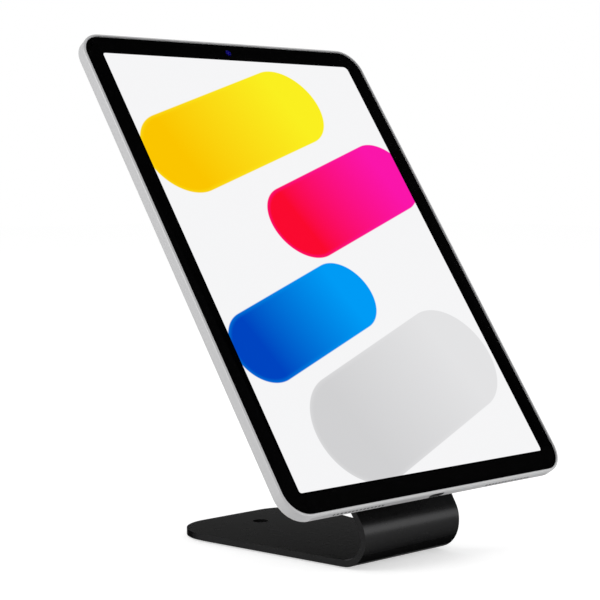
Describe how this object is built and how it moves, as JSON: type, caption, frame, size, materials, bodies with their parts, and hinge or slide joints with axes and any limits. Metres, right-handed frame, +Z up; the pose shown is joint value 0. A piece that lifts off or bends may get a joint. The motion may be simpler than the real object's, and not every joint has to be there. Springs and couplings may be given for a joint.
{
  "type": "tablet security kiosk stand",
  "caption": "Bent steel counter stand with a bonded tablet on a quarter-turn swivel head, key lock behind the leg and sprung side buttons.",
  "frame": {"origin": "centre of the bolt hole in the base, on the plane that the stand rests on", "axes": "+Z up, the tablet faces -Y and leans back towards +Y, X is symmetric about the leg"},
  "size_m": [0.1788, 0.1466, 0.2364],
  "materials": {
    "powder_coat": "satin black powder coat",
    "rubber_pad": "matt black rubber",
    "acetal": "natural acetal",
    "spring_steel": "spring steel",
    "hub_aluminium": "black anodised",
    "zinc_steel": "zinc plated",
    "foam_tape": "grey black foam tape",
    "cap_plastic": "fine moulded black",
    "lock_metal": "satin chrome",
    "housing_silver": "fine blasted silver",
    "cover_glass": "polished",
    "border_black": "black ink behind glass",
    "display": "lit picture with soft coloured bars",
    "tray_steel": "pressed steel",
    "lens": "dark blue coated lens",
    "lens_glass": "dark coated glass",
    "camera_body": "black",
    "cell_wrap": "dark foil",
    "board_green": "solder mask",
    "speaker_black": "moulded",
    "switch_steel": "pressed steel"
  },
  "bodies": {
    "stand": {"stand_plate": "powder_coat", "base_pad": "rubber_pad", "swivel_bush": "acetal", "rear_washer": "acetal"},
    "head": {"disc_spring": "spring_steel", "retaining_nut": "zinc_steel", "swivel_hub": "hub_aluminium", "stop_pin": "zinc_steel", "mount_plate": "powder_coat", "plate_screws": "zinc_steel", "adhesive_pad": "foam_tape", "rear_cap": "cap_plastic", "lock_barrel": "lock_metal", "rear_housing": "housing_silver", "cover_glass": "cover_glass", "border_mask": "border_black", "display_panel": "display", "panel_tray": "tray_steel", "front_camera": "lens", "rear_camera_ring": "housing_silver", "rear_camera_lens": "lens_glass", "rear_camera_module": "camera_body", "battery_left": "cell_wrap", "battery_right": "cell_wrap", "logic_board": "board_green", "board_screws": "zinc_steel", "speaker_lower_left": "speaker_black", "speaker_lower_right": "speaker_black", "speaker_upper_left": "speaker_black", "speaker_upper_right": "speaker_black", "usb_c_port": "switch_steel", "power_switch": "switch_steel", "volume_up_switch": "switch_steel", "volume_down_switch": "switch_steel"},
    "lock": {"lock_plug": "lock_metal", "lock_tbar": "zinc_steel"},
    "power_key": {"power_button": "housing_silver"},
    "volume_up_key": {"volume_up_button": "housing_silver"},
    "volume_down_key": {"volume_down_button": "housing_silver"}
  },
  "joints": [
    {"name": "head_swivel", "type": "hinge", "parent": "stand", "child": "head", "pos_m": [0, -0.02808, 0.12289], "axis": [0, -0.8178, 0.5754], "range_deg": [0, 90]},
    {"name": "lock_turn", "type": "hinge", "parent": "head", "child": "lock", "pos_m": [0, -0.02808, 0.12289], "axis": [0, 0.8178, -0.5754], "range_deg": [0, 90]},
    {"name": "power_press", "type": "slide", "parent": "head", "child": "power_key", "axis": [0, -0.5754, -0.8178], "range_m": [0, 0.00025], "stiffness_N_per_m": 2000, "springref_m": -0.0005},
    {"name": "volume_up_press", "type": "slide", "parent": "head", "child": "volume_up_key", "axis": [-1, 0, 0], "range_m": [0, 0.00025], "stiffness_N_per_m": 2000, "springref_m": -0.0005},
    {"name": "volume_down_press", "type": "slide", "parent": "head", "child": "volume_down_key", "axis": [-1, 0, 0], "range_m": [0, 0.00025], "stiffness_N_per_m": 2000, "springref_m": -0.0005}
  ]
}
